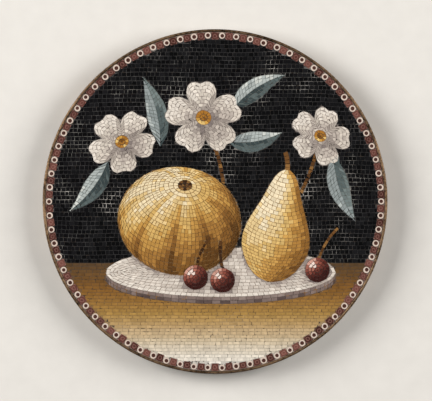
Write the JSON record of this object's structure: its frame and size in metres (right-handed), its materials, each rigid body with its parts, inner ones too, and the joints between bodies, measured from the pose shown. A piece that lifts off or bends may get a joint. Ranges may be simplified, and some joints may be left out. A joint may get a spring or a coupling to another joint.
{
  "type": "micromosaic medallion",
  "caption": "Round plaque of fine glass tesserae set in mastic in a shallow metal tray, with a ringed border round a fruit still life, for setting into a lid, frame or bezel.",
  "frame": {"origin": "centre of the tray's flat underside", "axes": "+Z out of the picture's face, the shortest extent; +Y to the picture's top; +X to the picture's right"},
  "size_m": [0.06, 0.06, 0.005],
  "materials": {
    "gilt_copper": "worn gilding over copper",
    "mastic": "dull oil cement",
    "smalti_border": "opaque polished glass",
    "smalti_black": "opaque polished glass",
    "smalti_ochre": "opaque polished glass",
    "smalti_brown": "opaque polished glass",
    "smalti_blue_grey": "opaque polished glass",
    "smalti_white": "opaque polished glass",
    "smalti_gold": "opaque polished glass",
    "smalti_lilac": "opaque polished glass",
    "smalti_red": "opaque polished glass"
  },
  "bodies": {
    "root": {"gilt_copper_tray": "gilt_copper", "mastic_bed": "mastic", "border_tesserae": "smalti_border", "black_field_tesserae": "smalti_black", "ground_tesserae": "smalti_ochre", "twig_top_tesserae": "smalti_brown", "twig_right_tesserae": "smalti_brown", "leaf_1_tesserae": "smalti_blue_grey", "leaf_2_tesserae": "smalti_blue_grey", "leaf_3_tesserae": "smalti_blue_grey", "leaf_4_tesserae": "smalti_blue_grey", "leaf_5_tesserae": "smalti_blue_grey", "blossom_left_petals": "smalti_white", "blossom_left_pollen": "smalti_gold", "blossom_top_petals": "smalti_white", "blossom_top_pollen": "smalti_gold", "blossom_right_petals": "smalti_white", "blossom_right_pollen": "smalti_gold", "dish_tesserae": "smalti_white", "dish_edge_tesserae": "smalti_lilac", "melon_tesserae": "smalti_gold", "melon_stalk_tesserae": "smalti_brown", "pear_tesserae": "smalti_gold", "pear_stalk_tesserae": "smalti_brown", "cherry_1_tesserae": "smalti_red", "cherry_1_stalk": "smalti_brown", "cherry_2_tesserae": "smalti_red", "cherry_2_stalk": "smalti_brown", "cherry_3_tesserae": "smalti_red", "cherry_3_stalk": "smalti_brown"}
  },
  "joints": []
}
